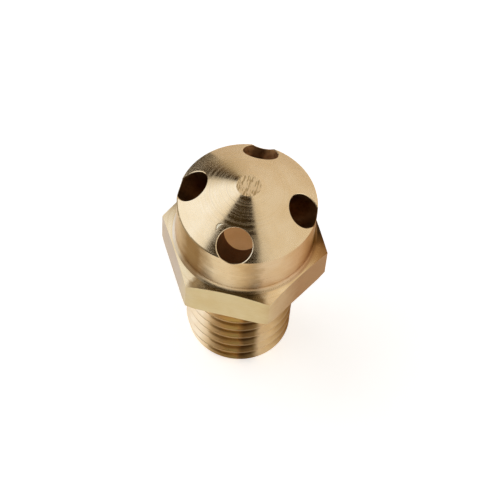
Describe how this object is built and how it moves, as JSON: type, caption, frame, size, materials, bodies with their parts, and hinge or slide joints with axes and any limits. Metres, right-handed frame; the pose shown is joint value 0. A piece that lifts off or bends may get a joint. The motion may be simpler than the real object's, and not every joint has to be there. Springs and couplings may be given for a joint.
{
  "type": "oil burner nozzle",
  "caption": "Pointed brass burner nozzle with slanted outlet ports round a domed nose, a spanner hexagon and a male thread; metering disc, swirl plug and strainer inside.",
  "frame": {"origin": "centre of the inlet end face of the thread, on the nozzle axis", "axes": "+Z along the nozzle axis from the inlet to the pointed tip; +X over a corner of the hexagon and through an outlet port; +Y over the middle of a flat and through an outlet port"},
  "size_m": [0.0184, 0.016, 0.0284],
  "materials": {
    "body_brass": "turned, dull champagne brass with fine feed marks",
    "screw_brass": "turned",
    "support_brass": "stamped sheet",
    "seal_copper": "soft annealed copper",
    "metering_steel": "ground stainless steel",
    "gauze_steel": "woven stainless wire",
    "spring_steel": "drawn spring wire"
  },
  "bodies": {
    "root": {"nozzle_body": "body_brass", "orifice_seal": "seal_copper", "orifice_disc": "metering_steel", "swirl_plug": "metering_steel", "retaining_screw": "screw_brass", "strainer_support": "support_brass", "strainer_gauze": "gauze_steel", "strainer_ring": "spring_steel"}
  },
  "joints": []
}
